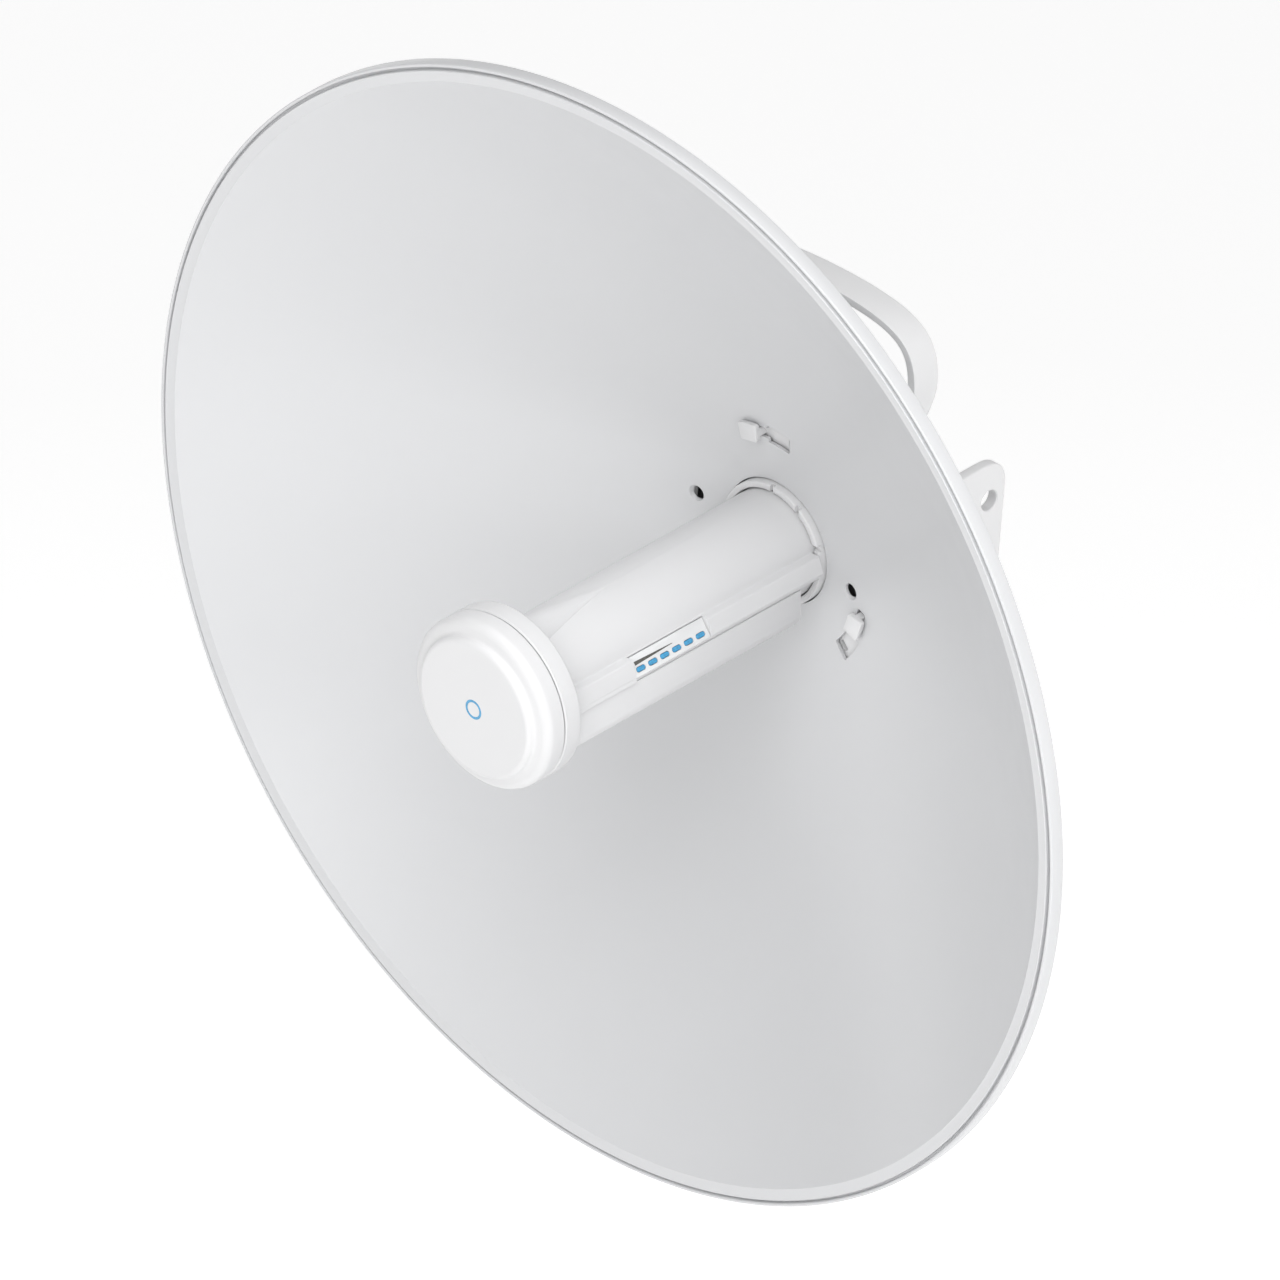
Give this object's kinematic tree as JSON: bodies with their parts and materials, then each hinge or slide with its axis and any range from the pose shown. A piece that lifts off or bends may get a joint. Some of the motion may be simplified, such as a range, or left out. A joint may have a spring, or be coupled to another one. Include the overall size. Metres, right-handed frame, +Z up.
{
  "type": "outdoor wireless bridge",
  "caption": "Parabolic dish antenna with a plug-in radio feed on its axis, a rear housing with a carry loop, and a tilting V clamp for a pole.",
  "frame": {"origin": "on the pole's axis, level with the middle of the clamp's jaws", "axes": "+Z up along the pole, -Y the way the dish looks, +X from the clamp towards the dish's right-hand side as seen from behind"},
  "size_m": [0.522, 0.3405, 0.522],
  "materials": {
    "dish": "satin white powder coat on pressed steel",
    "shell": "fine satin white",
    "zinc": "zinc plated",
    "aluminium": "cast and machined",
    "brass": "turned",
    "board": "green solder mask",
    "rubber": "moulded",
    "black": "moulded black",
    "window": "polished, light grey",
    "led": "tinted blue lens"
  },
  "bodies": {
    "bracket": {"pole_bracket": "aluminium", "pivot_bolt": "zinc", "pivot_washer": "zinc", "pivot_nut": "zinc", "lock_bolt": "zinc", "lock_washer": "zinc", "lock_nut": "zinc", "jaw_bolt_front": "zinc", "jaw_bolt_rear": "zinc"},
    "jaw": {"pole_jaw": "aluminium", "jaw_washer_front": "zinc", "jaw_nut_front": "zinc", "jaw_washer_rear": "zinc", "jaw_nut_rear": "zinc"},
    "antenna": {"rear_housing": "shell", "feed_socket": "shell", "carry_handle": "shell", "handle_screw_right": "zinc", "handle_screw_left": "zinc"},
    "dish": {"dish_reflector": "dish"},
    "latch": {"feed_latch": "shell"},
    "feed": {"feed_tube": "shell", "cap_ring": "shell", "feed_cap": "shell", "cap_seal": "rubber", "sub_reflector": "aluminium", "dielectric_cone": "window", "feed_horn": "brass", "circuit_board": "board", "rf_shield": "aluminium", "heat_sink": "aluminium", "ethernet_jack": "black", "reset_switch": "black", "led_window": "window", "light_guide": "window", "led_lens_1": "led", "led_lens_2": "led", "led_lens_3": "led", "led_lens_4": "led", "led_lens_5": "led", "led_lens_6": "led"},
    "cover": {"lower_cover": "shell"},
    "reset": {"reset_button": "black"}
  },
  "joints": [
    {"name": "elevation_tilt", "type": "hinge", "parent": "bracket", "child": "antenna", "pos_m": [0.037, -0.02, 0.078], "axis": [1, 0, 0], "range_deg": [-17, 17]},
    {"name": "jaw_slide", "type": "slide", "parent": "bracket", "child": "jaw", "axis": [1, 0, 0], "range_m": [-0.006, 0.0162]},
    {"name": "dish_turn", "type": "hinge", "parent": "antenna", "child": "dish", "pos_m": [0.08275, -0.107, 0.078], "axis": [0, -1, 0], "range_deg": [0, 16]},
    {"name": "latch_press", "type": "slide", "parent": "antenna", "child": "latch", "axis": [0, 0, -1], "range_m": [0, 0.003], "stiffness_N_per_m": 1500, "springref_m": -0.002},
    {"name": "feed_pull", "type": "slide", "parent": "antenna", "child": "feed", "axis": [0, -1, 0], "range_m": [0, 0.04]},
    {"name": "cover_drop", "type": "slide", "parent": "feed", "child": "cover", "axis": [0, 0, -1], "range_m": [0, 0.03]},
    {"name": "reset_press", "type": "slide", "parent": "feed", "child": "reset", "axis": [0, 0, 1], "range_m": [0, 0.0008], "stiffness_N_per_m": 800, "springref_m": -0.0008}
  ]
}
